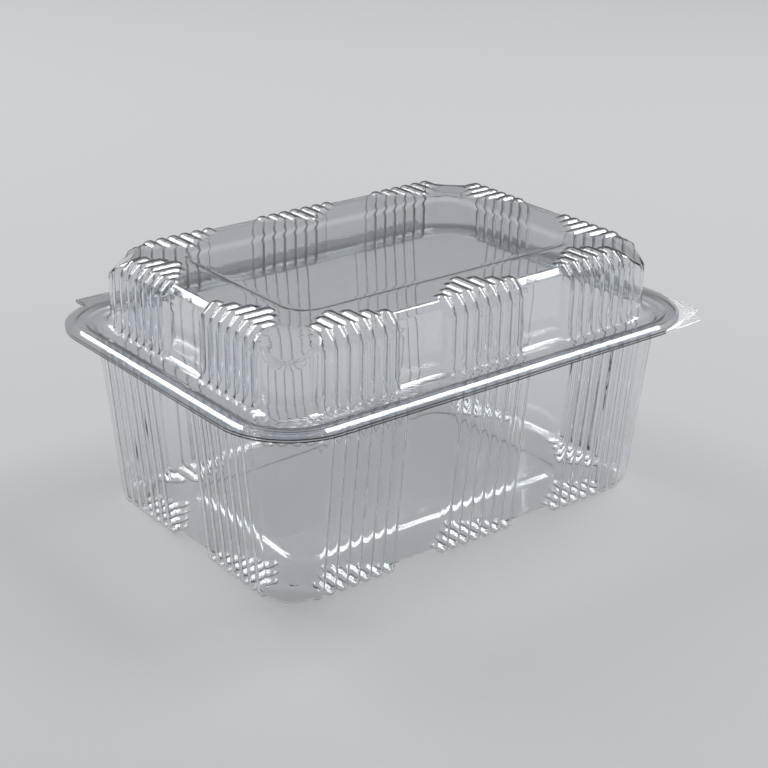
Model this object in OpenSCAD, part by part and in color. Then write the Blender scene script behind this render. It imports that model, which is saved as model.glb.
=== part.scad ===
// Clear hinged food container: a ribbed tub and a ribbed lid formed in one thin sheet,
// joined along the rear rim. Millimetres, Z up, origin on the table under the middle of the tub.
// X runs along the long side, the hinge is on the +Y side and the opening tabs at +X -Y.

/* [Rim] */
// Length of the rim along X
rim_l = 190; // [180:1:210]
// Width of the rim along Y, hinge strip left out
rim_w = 140; // [132:1:160]
// Corner radius of the rim edge
rim_r = 26; // [24:0.5:30]
// Distance from the rim edge to the nesting bead
bead_in = 3; // [2:0.1:3.4]
// Width of the nesting bead at its foot
bead_w = 5; // [4:0.1:5.6]
// Height of the nesting bead
bead_h = 0.6; // [0.3:0.05:0.9]
// Run of the slopes of the nesting bead
bead_run = 1.05; // [0.9:0.05:1.4]

/* [Tub] */
// Height of the rim underside over the table
base_h = 64.6; // [50:0.2:80]
// Distance from the rim edge in to the tub wall, at the rim
mouth_in = 10.5; // [10:0.1:11.5]
// Distance from the rim edge in to the tub wall, at the floor
foot_in = 16.7; // [15:0.1:17.5]
// Height of the corner feet under the floor
foot_h = 1.3; // [1.25:0.05:2]
// Size of the bevel between wall and floor
floor_edge = 2.2; // [1.6:0.1:2.6]
// Rise of the middle of the floor
floor_rise = 1.2; // [0.6:0.1:3]

/* [Lid] */
// Height of the lid top over the lid rim underside
lid_h = 24.8; // [22:0.2:32]
// Distance from the rim edge in to the lid wall
lid_in = 16.8; // [16.4:0.1:17.2]
// Size of the bevel between wall and top
lid_edge = 2.2; // [1.6:0.1:2.6]
// Size of the flare at the foot of the lid wall
lid_flare = 2.2; // [1.5:0.1:2.4]
// Depth of the sunk middle of the top
top_sink = 1.2; // [0.6:0.1:1.6]
// Slope of the corner facets under the top
facet_slope = 43; // [40:1:45]
// Width in plan of the gentler band along the top of a facet
facet_band = 3.5; // [3:0.1:4]
// Slope of that band
band_slope = 17.5; // [12:0.5:20]

/* [Panels] */
// Length of the sunk and raised middle panels
panel_l = 120; // [100:1:122]
// Width of the middle panels
panel_w = 70; // [50:1:71]
// Corner radius of the middle panels
panel_r = 10; // [6:0.5:14]
// Run of the slope round the middle panels
panel_run = 2; // [1:0.1:3]

/* [Ribs] */
// Radius of a rib
rib_r = 2.15; // [1.9:0.05:2.2]
// How far a rib stands proud
rib_rise = 1.1; // [0.9:0.05:1.1]
// Distance between neighbouring ribs
rib_pitch = 4.75; // [4.6:0.05:4.8]
// Reach of the shortest rib from the wall
rib_short = 6; // [5.8:0.1:6.4]
// Added reach from one rib to the next
rib_step = 3.1; // [2.6:0.1:3.1]
// Bend radius of a lid rib at the shoulder
rib_bend = 2.3; // [2.25:0.05:2.8]
// Size of the ball at a rib's corner, against the rib
rib_ball = 1.05; // [1.03:0.01:1.06]
// Distance of the outer rib groups from the middle of the long side
long_group = 51.5; // [50:0.1:52]
// Distance of the rib groups from the middle of the short side
short_group = 26.8; // [26:0.1:27]

/* [Sheet and hinge] */
// Thickness of the sheet
sheet = 0.4; // [0.35:0.05:0.5]
// Gap between the two rims
nest_gap = 0.45; // [0.43:0.01:0.6]
// Length of the hinge strip
hinge_l = 154; // [120:1:160]
// Distance of the fold line behind the rim edge
hinge_out = 5; // [4.5:0.1:7]
// Radius of the fold
fold_r = 0.6; // [0.5:0.05:0.6]
// Clearance between the lid strip and the fold
fold_gap = 0.35; // [0.32:0.01:0.5]
// Radius of the tab tips
tab_r = 2; // [1.5:0.1:2.5]

/* [Hidden] */
$fn = 48;
cut = 1;
ribs_in_group = 7;
half_l = rim_l/2;
half_w = rim_w/2;
mid_x = half_l - rim_r;
mid_y = half_w - rim_r;
lid_z = base_h + sheet + nest_gap;
top_z = lid_z + lid_h;
fold_y = half_w + hinge_out;
fold_z = base_h + sheet + nest_gap/2;
strip_y = fold_y - fold_r - fold_gap;
base_lean = atan((foot_in - mouth_in)/(base_h - foot_h));
rib_sunk = rib_r - rib_rise;
group_half = rib_pitch*(ribs_in_group - 1)/2;
// Corner facets and feet begin in the valley before the last rib of each group.
corner_x = long_group + group_half - rib_pitch/2;
corner_y = short_group + group_half - rib_pitch/2;
facet_sum = corner_x + half_w - lid_in - 5.5;
foot_sum = facet_sum + 1;
// The walls are formed in cells that meet in the plain stretches between rib groups.
split_x = long_group/2 + rib_pitch;

// Distance from the rim edge in to the tub wall at height z.
function base_wall(z) = foot_in - (z - foot_h)*tan(base_lean);

function unit(v) = v/norm(v);
function left_of(a, b) = [-unit(b - a)[1], unit(b - a)[0]];

// A section path moved sideways by d, with mitred corners.
function beside(p, d) = [
    for (i = [0:len(p) - 1])
        let (
            k = len(p) - 1,
            n0 = left_of(p[max(i - 1, 0)], p[max(i, 1)]),
            n1 = left_of(p[min(i, k - 1)], p[min(i + 1, k)])
        )
        p[i] + d*(n0 + n1)/(1 + n0*n1)
];

// Section of the nesting bead on a sheet whose top is at z, from the outside in.
function bead_path(z) = [
    [bead_in, z],
    [bead_in + bead_run, z + bead_h],
    [bead_in + bead_w - bead_run, z + bead_h],
    [bead_in + bead_w, z]
];

// A section path closed at the given distance in.
function closed(path, in) = concat([[in, path[0][1]]], path, [[in, path[len(path) - 1][1]]]);

// Solid whose section is a path of [distance in, height] points, filled to the middle if full,
// over the corner cell or the middle cell of the +Y half.
module formed(path, corner, full = true) {
    side = full ? closed(path, half_w) : path;
    ends = full ? closed(path, rim_r) : path;
    translate([corner ? split_x : -split_x, half_w, 0])
        rotate([90, 0, 90])
            linear_extrude(corner ? mid_x - split_x : 2*split_x)
                polygon([for (p = side) [-p[0], p[1]]]);
    if (corner) {
        translate([half_l, mid_y, 0])
            rotate([90, 0, 0])
                linear_extrude(mid_y)
                    polygon([for (p = ends) [-p[0], p[1]]]);
        translate([mid_x, mid_y, 0])
            rotate_extrude(angle = 90)
                polygon([for (p = ends) [rim_r - p[0], p[1]]]);
    }
}

// Rounded rectangle in plan, tapered to size + 2*run over height h.
module tapered(l, w, r, run, h) {
    for (s = [0, 1])
        rotate([90, 0, 90*s])
            linear_extrude(s == 0 ? w - 2*r : l - 2*r, center = true) {
                a = (s == 0 ? l : w)/2;
                polygon([[-a, 0], [a, 0], [a + run, h], [-a - run, h]]);
            }
    for (sx = [-1, 1], sy = [-1, 1])
        translate([sx*(l/2 - r), sy*(w/2 - r), 0])
            cylinder(r1 = r, r2 = r + run, h = h);
}

// Sunk or raised middle panel, opening upwards, extended above z by the cut allowance.
module panel(depth) {
    run = panel_run + cut*panel_run/depth;
    translate([0, 0, -depth])
        tapered(panel_l - 2*panel_run, panel_w - 2*panel_run, panel_r - panel_run, run, depth + cut);
}

// Straight run of a rib along +Z, with a round end.
module finger(run, r) {
    rotate_extrude()
        intersection() {
            union() {
                square([r, run]);
                translate([0, run])
                    circle(r);
            }
            square([r, run + r]);
        }
}

// One rib: up the wall, round the shoulder and in over the top, at local x = 0.
// Local y runs inwards from the wall line at its meeting with the top plane, z = 0.
// An upright wall has a bent shoulder, a leaning one a ball at the corner.
module rib(reach, drop, lean, r) {
    turn = lean > 0 ? 0 : rib_bend;
    kx = rib_sunk/cos(lean) - rib_sunk*tan(lean);
    translate([0, kx, -rib_sunk - turn])
        rotate([180 - lean, 0, 0])
            cylinder(r = r, h = (drop - rib_sunk)/cos(lean) - turn);
    if (lean > 0)
        translate([0, kx, -rib_sunk])
            sphere(r*rib_ball);
    else
        translate([0, kx + turn, -rib_sunk - turn])
            rotate([90, 0, 90])
                rotate([0, 0, 90])
                    rotate_extrude(angle = 90)
                        translate([turn, 0])
                            circle(r);
    translate([0, kx + turn, -rib_sunk])
        rotate([-90, 0, 0])
            finger(reach - kx - turn - rib_r, r);
}

// The rib groups of a cell, on a wall that meets the top plane z = 0 at the given distance in.
// Each group is given by the place of its middle and its turn. Its reach peaks in the middle.
module ribs(in, drop, lean, r, corner) {
    last = (ribs_in_group - 1)/2;
    side = [[corner ? long_group : 0, half_w - in, 0], 180];
    end = [[half_l - in, short_group, 0], 90];
    for (group = corner ? [side, end] : [side], i = [-last:last])
        translate(group[0])
            rotate([0, 0, group[1]])
                translate([i*rib_pitch, 0, 0])
                    rib(rib_short + rib_step*(last - abs(i)), drop, lean, r);
}

// Touching point on a circle of radius r about c of the line from p, on side s.
function touch(p, c, r, s) = let (
    d = norm(c - p),
    a = atan2(c[1] - p[1], c[0] - p[0]) + s*asin(r/d)
) p + sqrt(d*d - r*r)*[cos(a), sin(a)];

// Flat corner tab that fills the round of the rim out to a tip.
module tab(z, tip) {
    from = [mid_x, -half_w];
    to = [half_l, -mid_y];
    near = touch(from, tip, tab_r, -1);
    far = touch(to, tip, tab_r, 1);
    translate([0, 0, z])
        linear_extrude(sheet)
            difference() {
                union() {
                    polygon([[mid_x, -mid_y], from, near, tip, far, to]);
                    translate(tip)
                        circle(tab_r);
                }
                translate([mid_x, -mid_y])
                    circle(rim_r - bead_in/2);
            }
}

// Flat strip behind the rim that carries the hinge.
module strip(z, y_end) {
    translate([-hinge_l/2, half_w - bead_in/2, z])
        cube([hinge_l, y_end - half_w + bead_in/2, sheet]);
}

// Everything above a plane that falls at the given slope towards the corner, d inside the outer face.
// It passes the height z at the given distance from the middle, measured along the diagonal.
module above(out, z, slope, d) {
    rotate([0, 0, 45])
        translate([out, 0, z])
            rotate([0, slope, 0])
                translate([-half_w/2, -half_w, -d])
                    cube([half_w, 2*half_w, half_w]);
}

// Corner facet of the lid and the band over it, as the solid to take away.
module facet(d) {
    out = facet_sum/sqrt(2);
    intersection() {
        union() {
            above(out, top_z, band_slope, d);
            above(out + facet_band, top_z - facet_band*tan(band_slope), facet_slope, d);
        }
        translate([corner_x - d, corner_y - d, lid_z + lid_h/3])
            cube([half_l, half_w, lid_h]);
    }
}

// Corner foot of the tub, d inside the outer face.
module foot(d) {
    side = (foot_sum + d*sqrt(2))*sqrt(2);
    top = foot_h + floor_edge;
    path = [
        [base_wall(0) + foot_h + d, d],
        [base_wall(foot_h) + d, foot_h + d],
        [base_wall(top) + d, top + d]
    ];
    difference() {
        formed(path, true);
        rotate([0, 0, 45])
            cube([side, side, 4*top], center = true);
    }
}

// Outside of a tub cell, with rim and bead.
module base_outside(corner) {
    z1 = foot_h + floor_edge;
    path = [
        [base_wall(foot_h) + floor_edge, foot_h],
        [base_wall(z1), z1],
        [mouth_in, base_h],
        [0, base_h],
        [0, base_h + sheet]
    ];
    difference() {
        formed(concat(path, bead_path(base_h + sheet)), corner);
        translate([0, 0, foot_h])
            mirror([0, 0, 1])
                panel(floor_rise);
    }
    translate([0, 0, foot_h])
        mirror([0, 0, 1])
            ribs(foot_in, base_h + sheet/2 - foot_h, base_lean, rib_r, corner);
    if (corner)
        foot(0);
}

// Inside of a tub cell.
module base_inside(corner) {
    z1 = foot_h + floor_edge;
    z2 = base_h + sheet + cut;
    path = beside([
        [rim_r, foot_h],
        [base_wall(foot_h) + floor_edge, foot_h],
        [base_wall(z1), z1],
        [base_wall(z2), z2]
    ], -sheet);
    difference() {
        formed([path[1], path[2], path[3]], corner);
        translate([0, 0, foot_h + sheet])
            mirror([0, 0, 1])
                panel(floor_rise);
    }
    translate([0, 0, foot_h])
        mirror([0, 0, 1])
            ribs(foot_in, z2 - foot_h, base_lean, rib_r - sheet, corner);
    if (corner)
        foot(sheet);
}

// Closed section of the hollow under a bead, opened through the underside at z.
function bead_hollow(z) = concat([[bead_in, z - cut]], bead_path(z), [[bead_in + bead_w, z - cut]]);

module base_cell(corner) {
    difference() {
        base_outside(corner);
        base_inside(corner);
        formed(bead_hollow(base_h), corner, false);
    }
}

module base() {
    color("Gainsboro", 0.5) {
        base_cell(true);
        mirror([1, 0, 0])
            base_cell(true);
        mirror([0, 1, 0])
            base_cell(true);
        rotate([0, 0, 180])
            base_cell(true);
        base_cell(false);
        mirror([0, 1, 0])
            base_cell(false);
        tab(base_h, [mid_x + 19.2, -half_w + 3.6]);
        strip(base_h, fold_y);
        translate([-hinge_l/2, fold_y, fold_z])
            rotate([0, 90, 0])
                cylinder(r = fold_r, h = hinge_l);
    }
}

// Section of the lid from the flare at the rim up to the top plane.
function lid_path() = let (
    z1 = lid_z + sheet + lid_flare,
    z2 = top_z - lid_edge
) [
    [lid_in - lid_flare, z1 - lid_flare],
    [lid_in, z1],
    [lid_in, z2],
    [lid_in + lid_edge, top_z],
    [rim_r, top_z]
];

// Outside of a lid cell, with rim and bead.
module lid_outside(corner) {
    wall = lid_path();
    path = concat([[0, lid_z], [0, lid_z + sheet]], bead_path(lid_z + sheet), [for (i = [0:3]) wall[i]]);
    difference() {
        union() {
            difference() {
                formed(path, corner);
                translate([0, 0, top_z])
                    panel(top_sink);
            }
            translate([0, 0, top_z])
                ribs(lid_in, lid_h - sheet/2, 0, rib_r, corner);
        }
        if (corner)
            facet(0);
    }
}

// Inside of a lid cell.
module lid_inside(corner) {
    wall = beside(lid_path(), -sheet);
    low = lid_z - cut;
    path = concat([[wall[0][0] - (wall[0][1] - low), low]], [for (i = [0:3]) wall[i]]);
    difference() {
        union() {
            difference() {
                formed(path, corner);
                translate([0, 0, top_z - sheet])
                    panel(top_sink);
            }
            translate([0, 0, top_z])
                ribs(lid_in, lid_h - sheet/2, 0, rib_r - sheet, corner);
        }
        if (corner)
            facet(sheet);
    }
}

module lid_cell(corner) {
    difference() {
        lid_outside(corner);
        lid_inside(corner);
        formed(bead_hollow(lid_z), corner, false);
    }
}

module lid() {
    color("WhiteSmoke", 0.5) {
        lid_cell(true);
        mirror([1, 0, 0])
            lid_cell(true);
        mirror([0, 1, 0])
            lid_cell(true);
        rotate([0, 0, 180])
            lid_cell(true);
        lid_cell(false);
        mirror([0, 1, 0])
            lid_cell(false);
        tab(lid_z, [half_l - 3.4, -mid_y - 17.6]);
        strip(lid_z, strip_y);
    }
}

base();
lid();
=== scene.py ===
"""Clear hinged food container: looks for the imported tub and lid. Metres, Z up, as in the CAD.

Each half is one formed sheet, drawn as a fine mesh with the rounded edges that the forming leaves.
It stands for the CAD solid and has its sizes, but for a few forms that are named below.
"""

import math

import bpy
import numpy as np
from mathutils import Matrix, Vector


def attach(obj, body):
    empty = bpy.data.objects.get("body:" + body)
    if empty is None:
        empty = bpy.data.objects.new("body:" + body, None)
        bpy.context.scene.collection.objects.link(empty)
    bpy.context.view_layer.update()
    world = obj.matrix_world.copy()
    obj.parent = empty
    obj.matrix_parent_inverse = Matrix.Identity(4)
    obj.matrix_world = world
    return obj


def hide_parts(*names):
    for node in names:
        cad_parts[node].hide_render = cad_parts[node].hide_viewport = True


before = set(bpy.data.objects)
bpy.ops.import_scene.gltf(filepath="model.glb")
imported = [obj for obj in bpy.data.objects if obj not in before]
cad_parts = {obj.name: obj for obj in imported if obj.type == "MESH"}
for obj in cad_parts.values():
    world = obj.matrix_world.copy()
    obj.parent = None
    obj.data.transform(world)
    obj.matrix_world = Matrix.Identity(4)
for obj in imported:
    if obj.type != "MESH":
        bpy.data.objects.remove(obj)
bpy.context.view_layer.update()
scene = bpy.context.scene

MM = 0.001

# Sizes of the CAD source, in millimetres
HALF_L, HALF_W, RIM_R = 95.0, 70.0, 26.0
MID_X, MID_Y = HALF_L - RIM_R, HALF_W - RIM_R
SHEET = 0.4
BEAD_IN, BEAD_W, BEAD_H, BEAD_RUN = 3.0, 5.0, 0.6, 1.05
BASE_H, MOUTH_IN, FOOT_IN, FOOT_H, FLOOR_RISE = 64.6, 10.5, 16.7, 1.3, 1.2
LID_Z, LID_IN, LID_EDGE, TOP_Z = 65.45, 16.8, 2.2, 90.25
PANEL_L, PANEL_W, PANEL_R, PANEL_RUN = 120.0, 70.0, 10.0, 2.0
RIB_R, RIB_SUNK, RIB_PITCH, RIB_SHORT, RIB_STEP = 2.15, 1.05, 4.75, 6.0, 3.1
SIDE_RIBS = 3
LONG_GROUPS, SHORT_GROUPS = (-51.5, 0.0, 51.5), (-26.8, 26.8)
HINGE_HALF, FOLD_Y, FOLD_Z, FOLD_R, LID_STRIP_Y = 77.0, 75.0, 65.225, 0.6, 74.05
TAB_R, BASE_TAB, LID_TAB = 2.0, (88.2, -66.4), (91.6, -61.6)
CORNER_X, CORNER_Y, FACET_SUM, FOOT_SUM = 63.375, 38.675, 111.075, 112.075
BAND_SLOPE, FACET_BAND = math.radians(17.5), 3.5
BASE_LEAN = math.atan((FOOT_IN - MOUTH_IN) / (BASE_H - FOOT_H))

# Forms that differ a little from the CAD's: ribs that stand out further from the walls and bevel over
# the lid's shoulder, a gentle slope of the lid's panel, and lid corners that stand out between the
# middles of the last ribs and carry facets with leaning sides
LID_RIB_RISE, BASE_RIB_RISE, BEVEL_RUN, BEVEL_RISE = 2.8, 1.9, 3.6, 3.1
LID_SINK, LID_SLOPE = 1.0, 2.3
CORNER_OUT, FACET_SLOPE, SIDE_LEAN = 1.3, math.radians(36), math.radians(49)
LAST_X = LONG_GROUPS[-1] + SIDE_RIBS * RIB_PITCH
LAST_Y = SHORT_GROUPS[-1] + SIDE_RIBS * RIB_PITCH

# Roundings left by the forming, in millimetres
BEAD_ROUND, FLARE_ROUND, EDGE_ROUND, MOUTH_ROUND, FLOOR_ROUND = 1.0, 3.6, 0.6, 2.3, 3.4
FACET_ROUND, BAND_ROUND, SIDE_BLEND = 0.5, 0.5, 1.6
RIB_BLEND, CUT_BLEND = 0.5, 0.6
SLOPE_BLEND = 0.3  # share of a panel's slope that each of its rounded ends takes

# Pimples of a tab lie beyond a radius about a point behind the middle of its corner.
TAB_BACK, TAB_CLEAR = 8.0, 34.9

# Where the mesh lines lie: across a rib and beside a group (mm), and round a corner (degrees), where
# the hinge strip ends at 72.08 degrees
ACROSS = (-2.25, -2.05, -1.65, -0.8, 0.8, 1.65, 2.05, 2.25)
BESIDE = 0.5
ARC = (6, 12, 17.92, 25, 32, 39, 45, 51, 58, 65, 72.08, 78, 84)
WIDEST_STEP = 4.0
FLAT_IN = 6.5  # from a panel's edge to the one face of its flat
TAB_ROWS = (0.25, 0.5, 0.75, 1.0)
TIP_POINTS = 9
CURL = range(-90, 151, 40)  # degrees round the roll of the fold, from under the tub's strip
CURL_LEAD = 1.0  # from the fold line back to the last row of the tub's strip
SLACK = 0.01
# How vertices are pushed to the formed surface: from a distance outside, and by a share of what is left
PUSH_FROM, PUSH_STEPS, PUSH_SHARE = 4.0, 70, 0.8
SHARP_ANGLE = math.radians(50)

# The sheet's looks, with texture scales per metre and bump heights in metres
SHEET_TINT, SHEET_IOR = (0.93, 0.945, 0.96), 1.57
LIGHT_THROUGH = (0.93, 0.93, 0.93)  # lamp light that one face lets through
DRAWN_STRETCH = (1, 1, 0.15)  # ripples run up the walls, as the sheet was drawn
RIPPLE_SCALE, RIPPLE_STRENGTH, RIPPLE_HEIGHT = 45.0, 0.06, 0.002
PIMPLE_SCALE, PIMPLE_STRENGTH, PIMPLE_HEIGHT, TAB_FROST = 850.0, 1.0, 0.0008, 0.4
HAZE_SCALE, LEAST_ROUGH, MOST_ROUGH = 160.0, 0.01, 0.05

# The studio, in metres and watts
FLOOR_SIZE, FLOOR_COLOUR, FLOOR_ROUGH = 8.0, (0.62, 0.63, 0.65), 0.6
LAMP_AIM = (0, 0, 0.05)
REAR_LAMP, REAR_SIZE, REAR_POWER = (-0.42, 1.36, 1.34), (0.9, 0.8), 19.5
SIDE_LAMP, SIDE_SIZE, SIDE_POWER = (1.12, -0.14, 1.63), (1.1, 0.8), 24.0
WORLD_COLOUR, WORLD_STRENGTH = (0.75, 0.77, 0.80), 0.14
BOUNCES = 32  # enough for light to pass all the faces of both sheets

# The camera, fitted to the photo's edges: how it is turned, its place and its lens
AZIMUTH, ELEVATION, ROLL = (math.radians(a) for a in (-38.605, 23.233, 0.805))
AIM = Vector((0, 0, 51.25 * MM))
SHIFT_RIGHT, SHIFT_UP, DISTANCE = -1.746 * MM, 10.742 * MM, 600.93 * MM
FOCAL_PIXELS, FRAME_PIXELS, SENSOR = 1714.5, 768, 36.0
NEAREST = 0.01


def smin(a, b, k):
    """Smaller of two distances, with the corner between them rounded over k."""
    h = np.maximum(k - np.abs(a - b), 0) / k
    return np.minimum(a, b) - h * h * k / 4


def smax(a, b, k):
    return -smin(-a, -b, k)


# Rib groups as distances in the section plane: u in from the rim edge, z up, s across the rib

def to_segment(u, z, a, b):
    du, dz = b[0] - a[0], b[1] - a[1]
    t = np.clip(((u - a[0]) * du + (z - a[1]) * dz) / (du * du + dz * dz), 0, 1)
    return np.hypot(u - a[0] - t * du, z - a[1] - t * dz)


def to_ends(u, z, a, end_u):
    """Distance to a level line from a to end_u, where end_u differs from point to point."""
    t = np.clip(u, a[0], end_u)
    return np.hypot(u - t, z - a[1])


def lid_axis(u, z, reach):
    """Distance to a lid rib's middle line: up the wall, over the bevel and in along the top."""
    wall_u, top_z = LID_IN + RIB_R - LID_RIB_RISE, TOP_Z - RIB_SUNK
    low, high = (wall_u, top_z - BEVEL_RISE), (wall_u + BEVEL_RUN, top_z)
    upright = np.minimum(to_segment(u, z, (wall_u, LID_Z), low), to_segment(u, z, low, high))
    return np.minimum(upright, to_ends(u, z, high, LID_IN + reach - RIB_R))


def base_axis(u, z, reach):
    """Distance to a tub rib's middle line: down the wall and in along the floor."""
    in_wall = (RIB_R - BASE_RIB_RISE) / math.cos(BASE_LEAN)
    corner = (FOOT_IN + in_wall - RIB_SUNK * math.tan(BASE_LEAN), FOOT_H + RIB_SUNK)
    height = BASE_H - corner[1]
    upright = to_segment(u, z, corner, (corner[0] - height * math.tan(BASE_LEAN), BASE_H))
    return np.minimum(upright, to_ends(u, z, corner, FOOT_IN + reach - RIB_R))


def to_side_ribs(along, u, z, groups, axis):
    """Distance to the nearest rib of one side."""
    groups = np.array(groups)
    centre = groups[np.argmin(np.abs(along[:, None] - groups), axis=1)]
    step = np.clip(np.round((along - centre) / RIB_PITCH), -SIDE_RIBS, SIDE_RIBS)
    reach = RIB_SHORT + RIB_STEP * (SIDE_RIBS - np.abs(step))
    s = along - centre - step * RIB_PITCH
    return np.hypot(axis(u, z, reach), s) - RIB_R


def to_ribs(p, axis):
    long_side = to_side_ribs(p[:, 0], HALF_W - np.abs(p[:, 1]), p[:, 2], LONG_GROUPS, axis)
    short_side = to_side_ribs(p[:, 1], HALF_L - np.abs(p[:, 0]), p[:, 2], SHORT_GROUPS, axis)
    return np.minimum(long_side, short_side)


def facet_planes(x, y):
    """Heights of the two planes of a lid corner: the gentle band and the facet under it."""
    t = (np.abs(x) + np.abs(y) - FACET_SUM) / math.sqrt(2)
    band = TOP_Z - math.tan(BAND_SLOPE) * t
    return band, TOP_Z - math.tan(BAND_SLOPE) * FACET_BAND - math.tan(FACET_SLOPE) * (t - FACET_BAND)


def lid_form(p, e):
    """Distance to the lid's outside, for points at distance e from its plain walls or corner planes."""
    x, y, z = np.abs(p[:, 0]), np.abs(p[:, 1]), p[:, 2]
    u = RIM_R - np.hypot(np.maximum(x - MID_X, 0), np.maximum(y - MID_Y, 0))
    wall = np.where((x > LAST_X) & (y > LAST_Y), LID_IN - CORNER_OUT, LID_IN) - u
    top = z - TOP_Z
    bevel = (wall + LID_EDGE + top) / math.sqrt(2)
    shoulder = smax(smax(wall, top, EDGE_ROUND), bevel, EDGE_ROUND)
    plain = np.where((x > CORNER_X) & (y > CORNER_Y), np.minimum(e, shoulder), e)
    ribbed = smin(plain, to_ribs(p, lid_axis), RIB_BLEND)
    band, facet = facet_planes(x, y)
    over = smax((z - band) * math.cos(BAND_SLOPE), (z - facet) * math.cos(FACET_SLOPE), CUT_BLEND)
    lean = (TOP_Z - z) * math.tan(SIDE_LEAN)
    side = smin(x - CORNER_X - lean, y - CORNER_Y - lean, SIDE_BLEND) * math.cos(SIDE_LEAN)
    cut = np.minimum(smin(over, side, SIDE_BLEND), u - BEAD_IN - BEAD_W)
    return smax(ribbed, cut, CUT_BLEND)


def base_form(p, e):
    """Distance to the tub's outside, with its corner feet."""
    ribbed = smin(e, to_ribs(p, base_axis), RIB_BLEND)
    x, y, z = np.abs(p[:, 0]), np.abs(p[:, 1]), p[:, 2]
    rounded = np.hypot(np.maximum(x - MID_X, 0), np.maximum(y - MID_Y, 0))
    u = RIM_R - rounded
    wall = (FOOT_IN - (z - FOOT_H) * math.tan(BASE_LEAN) - u) * math.cos(BASE_LEAN)
    bevel = (FOOT_IN + FOOT_H - u - z) / math.sqrt(2)
    side = (FOOT_SUM - x - y) / math.sqrt(2)
    foot = smax(smax(-z, side, CUT_BLEND), smax(wall, bevel, CUT_BLEND), CUT_BLEND)
    return np.maximum(smin(ribbed, foot, CUT_BLEND), -z)


def in_panel(x, y):
    """Distance in from the edge of the middle panel."""
    r = PANEL_R
    qx, qy = np.abs(x) - PANEL_L / 2 + r, np.abs(y) - PANEL_W / 2 + r
    return r - np.hypot(np.maximum(qx, 0), np.maximum(qy, 0)) - np.minimum(np.maximum(qx, qy), 0)


def slope(x, y, run):
    """Share of the way over the slope of the middle panel's edge, with rounded ends."""
    t = in_panel(x, y) / run
    return smin(smax(t, 0.0, SLOPE_BLEND), 1.0, SLOPE_BLEND)


def lid_panel(x, y):
    return TOP_Z - LID_SINK * slope(x, y, LID_SLOPE)


def base_panel(x, y):
    return FOOT_H + FLOOR_RISE * slope(x, y, PANEL_RUN)


# Mesh of one formed half

def mesh_lines(half, groups):
    """Coordinates along a side: close together over ribs, wide over plain stretches."""
    ribs = [c + i * RIB_PITCH for c in groups for i in range(-SIDE_RIBS, SIDE_RIBS + 1)]
    beside = SIDE_RIBS * RIB_PITCH + ACROSS[-1] + BESIDE
    ends = {round(c + s * beside, 4) for c in groups for s in (-1, 1)}
    marks = sorted({round(r + s, 4) for r in ribs for s in ACROSS} | ends | {-half, half})
    lines = [marks[0]]
    for mark in marks[1:]:
        n = math.ceil((mark - lines[-1]) / WIDEST_STEP)
        lines += list(np.linspace(lines[-1], mark, n + 1)[1:])
    return np.array(lines)


def left(d):
    """Direction d turned a quarter to its left."""
    return np.array((-d[1], d[0]))


def rounded_section(points, rounds, splits):
    """A section path with rounded corners: points and unit normals to its left.

    Each corner takes its radius and number of steps from rounds, and each stretch between corners
    its number of added points from splits.
    """
    pts = [np.array(p, float) for p in points]
    path, normals = [pts[0]], []
    heading = (pts[1] - pts[0]) / np.linalg.norm(pts[1] - pts[0])
    normals.append(left(heading))
    for i, (radius, steps) in enumerate(rounds, start=1):
        onward = (pts[i + 1] - pts[i]) / np.linalg.norm(pts[i + 1] - pts[i])
        turn = math.atan2(heading[0] * onward[1] - heading[1] * onward[0], heading @ onward)
        back_off = radius * abs(math.tan(turn / 2))
        start = pts[i] - back_off * heading
        for t in range(1, splits[i - 1] + 1):
            path.append(path[-1] + (start - path[-1]) / (splits[i - 1] + 2 - t))
            normals.append(left(heading))
        centre = start + math.copysign(radius, turn) * left(heading)
        for t in range(steps + 1):
            a = turn * t / steps
            spin = np.array(((math.cos(a), -math.sin(a)), (math.sin(a), math.cos(a))))
            path.append(centre + spin @ (start - centre))
            normals.append(spin @ left(heading))
        heading = onward
    for t in range(1, splits[-1] + 1):
        path.append(path[-1] + (pts[-1] - path[-1]) / (splits[-1] + 2 - t))
        normals.append(left(heading))
    return path, normals


def stations(xs, ys):
    """Places round the rim, from the +X side anticlockwise.

    Each has its rim point, its direction in and the grid corner that it runs to.
    """
    nx, ny = len(xs), len(ys)
    found = []
    sides = (
        [((HALF_L, y), (-1, 0), (nx - 1, j)) for j, y in enumerate(ys)],
        [((x, HALF_W), (0, -1), (i, ny - 1)) for i, x in reversed(list(enumerate(xs)))],
        [((-HALF_L, y), (1, 0), (0, j)) for j, y in reversed(list(enumerate(ys)))],
        [((x, -HALF_W), (0, 1), (i, 0)) for i, x in enumerate(xs)],
    )
    corners = ((1, 1, 0), (-1, 1, 90), (-1, -1, 180), (1, -1, 270))
    for side, (sx, sy, turn) in zip(sides, corners):
        found += side
        for a in ARC:
            d = np.array((math.cos(math.radians(turn + a)), math.sin(math.radians(turn + a))))
            rim = np.array((sx * MID_X, sy * MID_Y)) + RIM_R * d
            found.append((tuple(rim), tuple(-d), side[-1][2]))
    return found


def touch(p, c, r, s):
    """Touching point on a circle about c of the line from p, on side s."""
    d = math.dist(p, c)
    a = math.atan2(c[1] - p[1], c[0] - p[0]) + s * math.asin(r / d)
    reach = math.sqrt(d * d - r * r)
    return (p[0] + reach * math.cos(a), p[1] + reach * math.sin(a))


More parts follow.
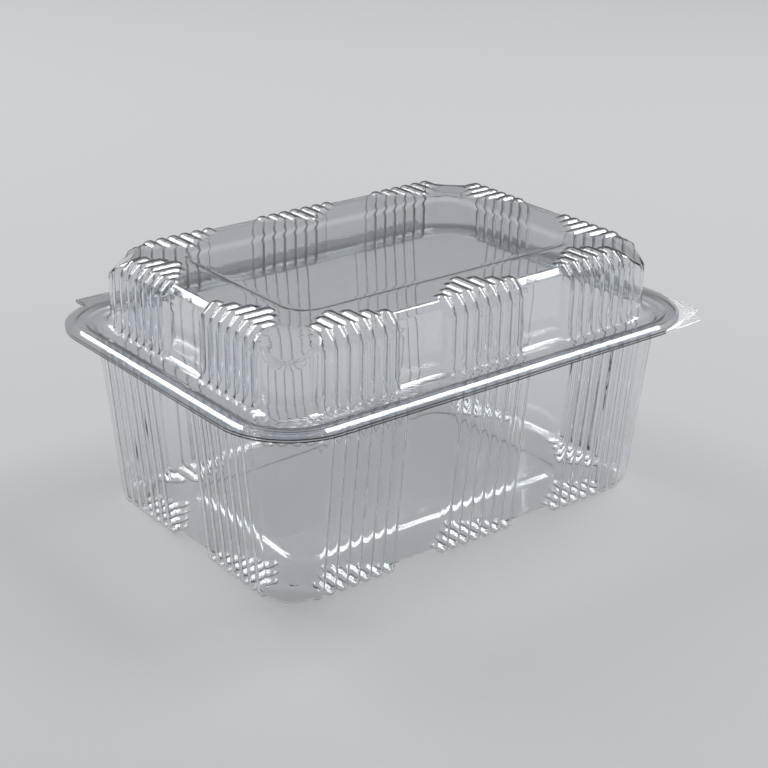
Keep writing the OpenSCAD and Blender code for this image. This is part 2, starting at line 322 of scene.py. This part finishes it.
def tab_outline(tip):
    """Edge of a corner tab, from the front rim round its tip to the side rim."""
    first, last = (MID_X, -HALF_W), (HALF_L, -MID_Y)
    on, off = touch(first, tip, TAB_R, -1), touch(last, tip, TAB_R, 1)
    a0 = math.atan2(on[1] - tip[1], on[0] - tip[0])
    a1 = math.atan2(off[1] - tip[1], off[0] - tip[0])
    a1 += 2 * math.pi * (a1 < a0)
    turns = np.linspace(a0, a1, TIP_POINTS)
    round_tip = [(tip[0] + TAB_R * math.cos(a), tip[1] + TAB_R * math.sin(a)) for a in turns]
    return np.array([first, *round_tip, last])


def points_along(line, shares):
    """Points at given shares of a line's length."""
    at = np.concatenate(([0], np.cumsum(np.linalg.norm(np.diff(line, axis=0), axis=1))))
    return np.stack([np.interp(np.array(shares) * at[-1], at, line[:, k]) for k in (0, 1)], axis=1)


class FormedSheet:
    """Outside face of a formed half, as vertices and faces, then thickened."""

    def __init__(self, facing):
        self.facing = facing  # 1 where the face looks up at the rim, -1 where it looks down
        self.points, self.normals, self.faces, self.level = [], [], [], []

    def add(self, point, normal, level=False):
        """New vertex; a level one keeps its own normal when the sheet is thickened."""
        self.points.append(point)
        self.normals.append(normal)
        self.level.append(level)
        return len(self.points) - 1

    def face(self, *ids):
        ids = [i for k, i in enumerate(ids) if i != ids[k - 1]]
        if len(ids) > 2:
            self.faces.append(ids if self.facing > 0 else ids[::-1])

    def rows(self, outer, inner):
        """Faces between two rows of vertices that run anticlockwise."""
        for a, b, c, d in zip(outer, outer[1:], inner[1:], inner):
            self.face(a, b, c, d)

    def push(self, form):
        """Moves each vertex along its normal to the formed surface."""
        p, n = np.array(self.points), np.array(self.normals)
        e = np.full(len(p), PUSH_FROM)
        for _ in range(PUSH_STEPS):
            e -= PUSH_SHARE * form(p + e[:, None] * n, e)
        self.points = p + e[:, None] * n


def add_middle(sheet, xs, ys, middle):
    """Grid over the floor or top, with the panel's flat as one face; returns the grid's vertices."""
    gx, gy = np.meshgrid(xs, ys, indexing="ij")
    gz = middle(gx, gy)
    grid = np.array([[sheet.add((gx[i, j], gy[i, j], gz[i, j]), (0, 0, sheet.facing))
                      for j in range(len(ys))] for i in range(len(xs))])
    flat_x = np.flatnonzero(np.abs(xs) <= PANEL_L / 2 - FLAT_IN)
    flat_y = np.flatnonzero(np.abs(ys) <= PANEL_W / 2 - FLAT_IN)
    i0, i1, j0, j1 = flat_x[0], flat_x[-1], flat_y[0], flat_y[-1]
    for i in range(len(xs) - 1):
        for j in range(len(ys) - 1):
            if not (i0 <= i < i1 and j0 <= j < j1):
                sheet.face(grid[i, j], grid[i + 1, j], grid[i + 1, j + 1], grid[i, j + 1])
    sheet.face(*grid[i0:i1, j0], *grid[i1, j0:j1], *grid[i1:i0:-1, j1], *grid[i0, j1:j0:-1])
    return grid


def add_walls(sheet, ring, grid, section):
    """Rows round the rim and the walls; returns each station's column of vertices, from the rim in."""
    columns = []
    for rim, inward, corner in ring:
        path, normals = section(rim, inward)
        columns.append([
            sheet.add((rim[0] + q[0] * inward[0], rim[1] + q[0] * inward[1], q[1]),
                      (n[0] * inward[0], n[0] * inward[1], n[1]))
            for q, n in zip(path, normals)
        ] + [grid[corner]])
    loops = [[c[r] for c in columns] + [columns[0][r]] for r in range(len(columns[0]))]
    for outer, inner in zip(loops, loops[1:]):
        sheet.rows(outer, inner)
    return columns


def add_strip(sheet, ring, columns, strip):
    """Hinge strip behind the +Y rim."""
    rear = [k for k, (rim, _, _) in enumerate(ring)
            if rim[1] > 0 and abs(rim[0]) <= HINGE_HALF + SLACK]
    row = [columns[k][0] for k in rear]
    for y, z, ny, nz in strip:
        outer = [sheet.add((ring[k][0][0], y, z), (0, ny, nz)) for k in rear]
        sheet.rows(outer, row)
        row = outer


def add_tab(sheet, ring, columns, edge_z, tip):
    """Tab at the +X -Y corner."""
    first = next(k for k, (rim, _, _) in enumerate(ring) if rim[0] == MID_X and rim[1] == -HALF_W)
    corner = list(range(first, len(ring))) + [0]
    edge_points = np.array([ring[k][0] for k in corner])
    outline = points_along(tab_outline(tip), np.linspace(0, 1, len(corner)))
    row = [columns[k][0] for k in corner]
    for t in TAB_ROWS:
        reached = edge_points + t * (outline - edge_points)
        outer = [sheet.add((*q, edge_z), (0, 0, sheet.facing), True) for q in reached]
        outer[0], outer[-1] = columns[corner[0]][0], columns[corner[-1]][0]
        sheet.rows(outer, row)
        row = outer


def formed_half(name, facing, section, middle, form, edge_z, strip, tip):
    """Mesh object of a formed half.

    section(rim, inward) gives a station's path as (points, normals), middle(x, y) the height of the
    floor or top, and strip the rows of the hinge strip as (y, z, normal y, normal z).
    """
    sheet = FormedSheet(facing)
    xs, ys = mesh_lines(MID_X, LONG_GROUPS), mesh_lines(MID_Y, SHORT_GROUPS)
    ring = stations(xs, ys)
    grid = add_middle(sheet, xs, ys, middle)
    columns = add_walls(sheet, ring, grid, section)
    add_strip(sheet, ring, columns, strip)
    add_tab(sheet, ring, columns, edge_z, tip)
    sheet.push(form)
    return thickened(name, sheet)


def thickened(name, sheet):
    """Object with the sheet's thickness added inside its outside face."""
    outside = bpy.data.meshes.new(name)
    outside.from_pydata([Vector(p) * MM for p in sheet.points], [], sheet.faces)
    n = len(outside.vertices)
    normals = np.zeros(n * 3, np.float32)
    outside.vertices.foreach_get("normal", normals)
    bpy.data.meshes.remove(outside)
    normals = np.where(np.array(sheet.level)[:, None], sheet.normals, normals.reshape(-1, 3))
    inside = np.array(sheet.points) - SHEET * normals
    # An edge that only one face uses is on the sheet's border, where a wall closes the thickness.
    uses = {}
    for f in sheet.faces:
        for a, b in zip(f, f[1:] + f[:1]):
            uses.setdefault((min(a, b), max(a, b)), []).append((a, b))
    border = [ab[0] for ab in uses.values() if len(ab) == 1]
    faces = sheet.faces + [[i + n for i in reversed(f)] for f in sheet.faces]
    faces += [[b, a, a + n, b + n] for a, b in border]
    mesh = bpy.data.meshes.new(name)
    mesh.from_pydata([Vector(p) * MM for p in np.concatenate((sheet.points, inside))], [], faces)
    mesh.shade_smooth()
    mesh.set_sharp_from_angle(angle=SHARP_ANGLE)
    made = bpy.data.objects.new(name, mesh)
    scene.collection.objects.link(made)
    return made


def bead(z):
    """Corners of the bead's section on a rim at height z."""
    outer, inner, top = BEAD_IN, BEAD_IN + BEAD_W, z + BEAD_H
    return [(outer, z), (outer + BEAD_RUN, top), (inner - BEAD_RUN, top), (inner, z)]


def lid_section(rim, inward):
    z = LID_Z + SHEET
    wall_in = LID_IN - CORNER_OUT * (abs(rim[0]) > LAST_X and abs(rim[1]) > LAST_Y)
    wall = (rim[0] + wall_in * inward[0], rim[1] + wall_in * inward[1])
    end = (rim[0] + RIM_R * inward[0], rim[1] + RIM_R * inward[1])
    rim_points = [(0, z), *bead(z), (wall_in, z)]
    rim_rounds = [(BEAD_ROUND, 2)] * 4 + [(FLARE_ROUND, 7)]
    rim_splits = (0, 0, 0, 0, 2, 5)
    if abs(wall[0]) < CORNER_X or abs(wall[1]) < CORNER_Y:
        points = [*rim_points, (LID_IN, TOP_Z - LID_EDGE), (LID_IN + LID_EDGE, TOP_Z), (RIM_R, TOP_Z)]
        rounds = [*rim_rounds, (EDGE_ROUND, 3), (EDGE_ROUND, 3)]
        return rounded_section(points, rounds, (*rim_splits, 3, 6))
    # A corner station climbs the facet and its band instead.
    wall_sum, end_sum = abs(wall[0]) + abs(wall[1]), abs(end[0]) + abs(end[1])
    share = (FACET_SUM + FACET_BAND * math.sqrt(2) - wall_sum) / (end_sum - wall_sum)
    crease = (wall_in + share * (RIM_R - wall_in), TOP_Z - FACET_BAND * math.tan(BAND_SLOPE))
    points = [*rim_points, (wall_in, facet_planes(*wall)[1]), crease, (RIM_R, facet_planes(*end)[0])]
    rounds = [*rim_rounds, (FACET_ROUND, 5), (BAND_ROUND, 2)]
    return rounded_section(points, rounds, (*rim_splits, 5, 3))


def base_section(rim, inward):
    points = [(0, BASE_H), *bead(BASE_H), (MOUTH_IN, BASE_H), (FOOT_IN, FOOT_H), (RIM_R, FOOT_H)]
    rounds = [(BEAD_ROUND, 2)] * 4 + [(MOUTH_ROUND, 6), (FLOOR_ROUND, 9)]
    path, normals = rounded_section(points, rounds, (0, 0, 0, 0, 1, 5, 8))
    return path, [-n for n in normals]


curl = [(math.cos(math.radians(a)), math.sin(math.radians(a))) for a in CURL]
base_strip = [(FOLD_Y - CURL_LEAD, BASE_H, 0, -1)]
base_strip += [(FOLD_Y + FOLD_R * c, FOLD_Z + FOLD_R * s, c, s) for c, s in curl]
lid_rim_z = LID_Z + SHEET
lid_strip = [(LID_STRIP_Y, lid_rim_z, 0, 1)]
tub = formed_half("tub_sheet", -1, base_section, base_panel, base_form, BASE_H, base_strip, BASE_TAB)
cover = formed_half("lid_sheet", 1, lid_section, lid_panel, lid_form, lid_rim_z, lid_strip, LID_TAB)
for made, body, slot in ((tub, "base", "tub_sheet"), (cover, "lid", "lid_sheet")):
    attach(made, body)
    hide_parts(body)


# Materials

class Nodes:
    """Node tree of a new material, with short ways to add to it."""

    def __init__(self, name):
        self.material = bpy.data.materials.new(name)
        self.material.use_nodes = True
        self.tree = self.material.node_tree
        self.tree.nodes.clear()

    def feed(self, socket, value):
        """Links an input to another node's output, or sets it to a plain value."""
        if isinstance(value, bpy.types.NodeSocket):
            self.tree.links.new(value, socket)
        else:
            socket.default_value = value

    def add(self, kind, **values):
        """New node, with its settings and inputs by name; _ stands for a space in an input's name."""
        node = self.tree.nodes.new(kind)
        for key, value in values.items():
            if hasattr(node, key):
                setattr(node, key, value)
            else:
                self.feed(node.inputs[key.replace("_", " ")], value)
        return node

    def add_in_order(self, kind, *values, **settings):
        """First output of a new node whose inputs are given in their order."""
        node = self.add(kind, **settings)
        for socket, value in zip(node.inputs, values):
            self.feed(socket, value)
        return node.outputs[0]

    def math(self, operation, *values):
        return self.add_in_order("ShaderNodeMath", *values, operation=operation)

    def finished(self, shader):
        self.add("ShaderNodeOutputMaterial", Surface=shader)
        return self.material


def tab_mask(n, place):
    """1 on the pimpled crescent of the tabs, along the round of their corner, and 0 elsewhere."""
    centre = ((MID_X - TAB_BACK) * MM, (TAB_BACK - MID_Y) * MM, 0)
    offset = n.add_in_order("ShaderNodeVectorMath", place, centre, operation="SUBTRACT")
    x, y, _ = n.add("ShaderNodeSeparateXYZ", Vector=offset).outputs
    square = n.math("ADD", n.math("MULTIPLY", x, x), n.math("MULTIPLY", y, y))
    outside = n.math("GREATER_THAN", square, (TAB_CLEAR * MM) ** 2)
    corner = n.math("MULTIPLY", n.math("GREATER_THAN", x, 0), n.math("LESS_THAN", y, 0))
    return n.math("MULTIPLY", corner, outside)


def clear_sheet():
    """Clear formed sheet that lets lamp light through: glass with faint draw lines and pimpled tabs."""
    n = Nodes("clear_sheet")
    place = n.add("ShaderNodeTexCoord").outputs["Object"]
    drawn = n.add("ShaderNodeMapping", Vector=place, Scale=DRAWN_STRETCH).outputs["Vector"]
    ripple = n.add("ShaderNodeTexNoise", Vector=drawn, Scale=RIPPLE_SCALE, Detail=2.0).outputs["Fac"]
    rippled = n.add("ShaderNodeBump", Strength=RIPPLE_STRENGTH, Distance=RIPPLE_HEIGHT, Height=ripple)
    on_tab = tab_mask(n, place)
    dots = n.add("ShaderNodeTexVoronoi", Vector=place, Scale=PIMPLE_SCALE, Randomness=0.0)
    pimples = n.math("MULTIPLY", dots.outputs["Distance"], on_tab)
    pimpled = n.add("ShaderNodeBump", invert=True, Strength=PIMPLE_STRENGTH, Distance=PIMPLE_HEIGHT,
                    Height=pimples, Normal=rippled.outputs["Normal"])
    haze = n.add("ShaderNodeTexNoise", Vector=place, Scale=HAZE_SCALE, Detail=4.0).outputs["Fac"]
    rough = n.add("ShaderNodeMapRange", Value=haze, To_Min=LEAST_ROUGH, To_Max=MOST_ROUGH)
    frosted = n.math("MULTIPLY_ADD", on_tab, TAB_FROST, rough.outputs["Result"])
    glass = n.add("ShaderNodeBsdfPrincipled", Base_Color=(*SHEET_TINT, 1), IOR=SHEET_IOR,
                  Transmission_Weight=1, Roughness=frosted, Normal=pimpled.outputs["Normal"])
    clear = n.add("ShaderNodeBsdfTransparent", Color=(*LIGHT_THROUGH, 1))
    ray = n.add("ShaderNodeLightPath").outputs
    from_lamp = n.math("MAXIMUM", ray["Is Shadow Ray"], ray["Is Diffuse Ray"])
    mix = n.add_in_order("ShaderNodeMixShader", from_lamp, glass.outputs[0], clear.outputs[0])
    return n.finished(mix)


def floor_paint():
    n = Nodes("floor_paint")
    paint = n.add("ShaderNodeBsdfPrincipled", Base_Color=(*FLOOR_COLOUR, 1), Roughness=FLOOR_ROUGH)
    return n.finished(paint.outputs[0])


sheet_material = clear_sheet()
for made in (tub, cover):
    made.data.materials.append(sheet_material)


# Floor, lamps and camera

def floor_plane(name, size):
    mesh = bpy.data.meshes.new(name)
    s = size / 2
    mesh.from_pydata([(-s, -s, 0), (s, -s, 0), (s, s, 0), (-s, s, 0)], [], [(0, 1, 2, 3)])
    mesh.materials.append(floor_paint())
    made = bpy.data.objects.new(name, mesh)
    scene.collection.objects.link(made)
    return made


floor = floor_plane("floor", FLOOR_SIZE)


def softbox(name, place, size, power):
    lamp = bpy.data.lights.new(name, "AREA")
    lamp.shape = "RECTANGLE"
    lamp.size, lamp.size_y = size
    lamp.energy = power
    made = bpy.data.objects.new(name, lamp)
    made.location = place
    made.rotation_euler = (Vector(LAMP_AIM) - Vector(place)).to_track_quat("-Z", "Y").to_euler()
    scene.collection.objects.link(made)


softbox("softbox_rear", REAR_LAMP, REAR_SIZE, REAR_POWER)
softbox("softbox_side", SIDE_LAMP, SIDE_SIZE, SIDE_POWER)

scene.world = bpy.data.worlds.new("studio")
scene.world.use_nodes = True
background = scene.world.node_tree.nodes["Background"]
background.inputs["Color"].default_value = (*WORLD_COLOUR, 1)
background.inputs["Strength"].default_value = WORLD_STRENGTH

back = Vector((
    math.sin(AZIMUTH) * math.cos(ELEVATION),
    -math.cos(AZIMUTH) * math.cos(ELEVATION),
    math.sin(ELEVATION),
))
level = Vector((math.cos(AZIMUTH), math.sin(AZIMUTH), 0))
upright = back.cross(level)
right = math.cos(ROLL) * level + math.sin(ROLL) * upright
up = -math.sin(ROLL) * level + math.cos(ROLL) * upright
camera = bpy.data.objects.new("camera", bpy.data.cameras.new("camera"))
camera.data.sensor_width = SENSOR
camera.data.lens = FOCAL_PIXELS / FRAME_PIXELS * SENSOR
camera.data.clip_start = NEAREST
place = AIM + DISTANCE * back - SHIFT_RIGHT * right - SHIFT_UP * up
camera.matrix_world = Matrix.Translation(place) @ Matrix((right, up, back)).transposed().to_4x4()
scene.collection.objects.link(camera)
scene.camera = camera

scene.view_settings.view_transform = "Standard"
scene.cycles.max_bounces = BOUNCES
scene.cycles.transmission_bounces = BOUNCES
scene.cycles.transparent_max_bounces = BOUNCES
